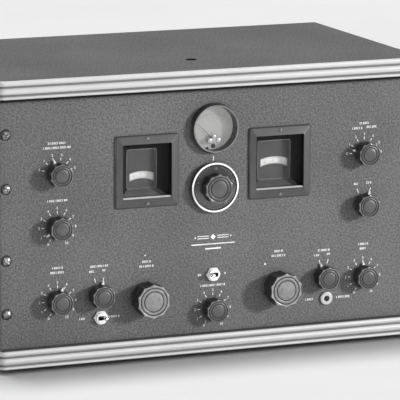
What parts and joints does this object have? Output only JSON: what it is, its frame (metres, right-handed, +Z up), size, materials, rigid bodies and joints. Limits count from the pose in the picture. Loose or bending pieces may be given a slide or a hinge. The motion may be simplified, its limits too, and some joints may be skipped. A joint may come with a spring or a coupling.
{
  "type": "table communications receiver",
  "caption": "Table-cabinet communications receiver: ribbed aluminium mouldings, two dial windows, round meter, ringed band selector, fluted knobs, toggle switches and a hinged lid.",
  "frame": {"origin": "under the middle of the whole object, on the surface it stands on", "axes": "+X to the right of someone facing the panel, +Y from the panel into the cabinet, +Z up"},
  "size_m": [0.4904, 0.313, 0.3112],
  "materials": {
    "cabinet_paint": "fine wrinkle enamel, dark grey",
    "panel_paint": "wrinkle enamel, dark grey",
    "trim_metal": "satin ribbed moulding",
    "knob_plastic": "moulded dark phenolic",
    "skirt_plastic": "polished black",
    "bright_plate": "bright plated",
    "nickel": "nickel plated",
    "frame_paint": "smooth dark enamel",
    "mask_paint": "flat grey",
    "dial_scale": "translucent printed scale",
    "window_glass": "clear flat glass",
    "meter_body": "moulded black",
    "meter_card": "printed meter card",
    "needle_paint": "flat black",
    "chassis_plate": "cadmium plated sheet steel",
    "can_metal": "drawn aluminium",
    "valve_glass": "blown glass envelopes",
    "condenser_metal": "plain plates",
    "black_phenolic": "moulded black",
    "transformer_paint": "black enamel",
    "cord_braid": "waxed braid",
    "foot_rubber": "moulded black"
  },
  "bodies": {
    "root": {"cabinet_shell": "cabinet_paint", "rear_cover": "cabinet_paint", "upper_trim": "trim_metal", "lower_trim": "trim_metal", "front_panel": "panel_paint", "rack_screws": "nickel", "feet": "foot_rubber", "left_escutcheon": "frame_paint", "right_escutcheon": "frame_paint", "escutcheon_screws": "nickel", "left_window_glass": "window_glass", "right_window_glass": "window_glass", "left_dial_mask": "mask_paint", "right_dial_mask": "mask_paint", "meter_case": "meter_body", "meter_glass": "window_glass", "meter_face": "meter_card", "chassis": "chassis_plate", "hinge_leaf_fixed": "nickel", "hinge_pin": "nickel", "main_gang_frame": "condenser_metal", "bandspread_gang_frame": "condenser_metal", "panel_controls": "nickel", "band_switch_body": "nickel", "toggle_bodies": "nickel", "toggle_nuts": "bright_plate", "phone_jack": "bright_plate", "valves": "valve_glass", "if_cans": "can_metal", "coil_box": "can_metal", "output_transformer": "transformer_paint", "drive_cords": "cord_braid", "rear_terminals": "black_phenolic", "power_socket": "black_phenolic"},
    "lid": {"cabinet_lid": "cabinet_paint", "lid_finger_pull": "bright_plate", "hinge_leaf_moving": "nickel"},
    "main_gang": {"main_dial": "dial_scale", "main_gang_rotor": "condenser_metal"},
    "main_tuning": {"main_tuning_knob": "knob_plastic", "main_tuning_shaft": "nickel"},
    "bandspread_gang": {"bandspread_dial": "dial_scale", "bandspread_gang_rotor": "condenser_metal"},
    "bandspread_tuning": {"bandspread_knob": "knob_plastic", "bandspread_shaft": "nickel"},
    "band_switch": {"band_switch_knob": "knob_plastic", "band_switch_skirt": "skirt_plastic", "band_switch_ring": "bright_plate"},
    "left_toggle": {"left_toggle_lever": "bright_plate"},
    "centre_toggle": {"centre_toggle_lever": "bright_plate"},
    "meter_movement": {"meter_needle": "needle_paint"},
    "selectivity": {"selectivity_knob": "knob_plastic"},
    "phasing": {"phasing_knob": "knob_plastic"},
    "bandwidth": {"bandwidth_knob": "knob_plastic"},
    "limiter": {"limiter_knob": "knob_plastic"},
    "sensitivity": {"sensitivity_knob": "knob_plastic"},
    "avc": {"avc_knob": "knob_plastic"},
    "audio_gain": {"audio_gain_knob": "knob_plastic"},
    "mode": {"mode_knob": "knob_plastic"},
    "beat": {"beat_knob": "knob_plastic"}
  },
  "joints": [
    {"name": "lid_hinge", "type": "hinge", "parent": "root", "child": "lid", "pos_m": [0, 0.14985, 0.3074], "axis": [-1, 0, 0], "range_deg": [0, 95]},
    {"name": "main_gang_spin", "type": "hinge", "parent": "root", "child": "main_gang", "pos_m": [-0.0764, -0.13295, 0.1656], "axis": [0, 1, 0], "range_deg": [-90, 90]},
    {"name": "main_tuning_spin", "type": "hinge", "parent": "root", "child": "main_tuning", "pos_m": [-0.0764, -0.13295, 0.0681], "axis": [0, 1, 0], "range_deg": [-900, 900]},
    {"name": "bandspread_gang_spin", "type": "hinge", "parent": "root", "child": "bandspread_gang", "pos_m": [0.0764, -0.13295, 0.1656], "axis": [0, 1, 0], "range_deg": [-90, 90]},
    {"name": "bandspread_tuning_spin", "type": "hinge", "parent": "root", "child": "bandspread_tuning", "pos_m": [0.0764, -0.13295, 0.0681], "axis": [0, 1, 0], "range_deg": [-720, 720]},
    {"name": "band_switch_turn", "type": "hinge", "parent": "root", "child": "band_switch", "pos_m": [0, -0.13295, 0.1831], "axis": [0, 1, 0], "range_deg": [-60, 60]},
    {"name": "selectivity_turn", "type": "hinge", "parent": "root", "child": "selectivity", "pos_m": [-0.1768, -0.13295, 0.2086], "axis": [0, 1, 0], "range_deg": [-60, 90]},
    {"name": "phasing_turn", "type": "hinge", "parent": "root", "child": "phasing", "pos_m": [-0.1768, -0.13295, 0.1516], "axis": [0, 1, 0], "range_deg": [-25, 275]},
    {"name": "bandwidth_turn", "type": "hinge", "parent": "root", "child": "bandwidth", "pos_m": [-0.1768, -0.13295, 0.0721], "axis": [0, 1, 0], "range_deg": [-170, 130]},
    {"name": "limiter_turn", "type": "hinge", "parent": "root", "child": "limiter", "pos_m": [-0.13, -0.13295, 0.0751], "axis": [0, 1, 0], "range_deg": [-32, 0]},
    {"name": "sensitivity_turn", "type": "hinge", "parent": "root", "child": "sensitivity", "pos_m": [0, -0.13295, 0.0502], "axis": [0, 1, 0], "range_deg": [-285, 15]},
    {"name": "avc_turn", "type": "hinge", "parent": "root", "child": "avc", "pos_m": [0.13, -0.13295, 0.0751], "axis": [0, 1, 0], "range_deg": [0, 32]},
    {"name": "audio_gain_turn", "type": "hinge", "parent": "root", "child": "audio_gain", "pos_m": [0.1768, -0.13295, 0.0721], "axis": [0, 1, 0], "range_deg": [-150, 150]},
    {"name": "mode_turn", "type": "hinge", "parent": "root", "child": "mode", "pos_m": [0.1768, -0.13295, 0.1516], "axis": [0, 1, 0], "range_deg": [-50, 0]},
    {"name": "beat_turn", "type": "hinge", "parent": "root", "child": "beat", "pos_m": [0.1768, -0.13295, 0.2086], "axis": [0, 1, 0], "range_deg": [-15, 165]},
    {"name": "left_toggle_throw", "type": "hinge", "parent": "root", "child": "left_toggle", "pos_m": [-0.1285, -0.12595, 0.0509], "axis": [0, 0, 1], "range_deg": [-22, 0]},
    {"name": "centre_toggle_throw", "type": "hinge", "parent": "root", "child": "centre_toggle", "pos_m": [0, -0.12595, 0.0879], "axis": [0, 0, 1], "range_deg": [0, 22]},
    {"name": "meter_needle_swing", "type": "hinge", "parent": "root", "child": "meter_movement", "pos_m": [0, -0.13145, 0.2341], "axis": [0, 1, 0], "range_deg": [0, 90], "stiffness_Nm_per_rad": 0.0005}
  ],
  "couplings": [
    {"joint": "main_tuning_spin", "follows": "main_gang_spin", "ratio": 10},
    {"joint": "bandspread_tuning_spin", "follows": "bandspread_gang_spin", "ratio": 8}
  ]
}
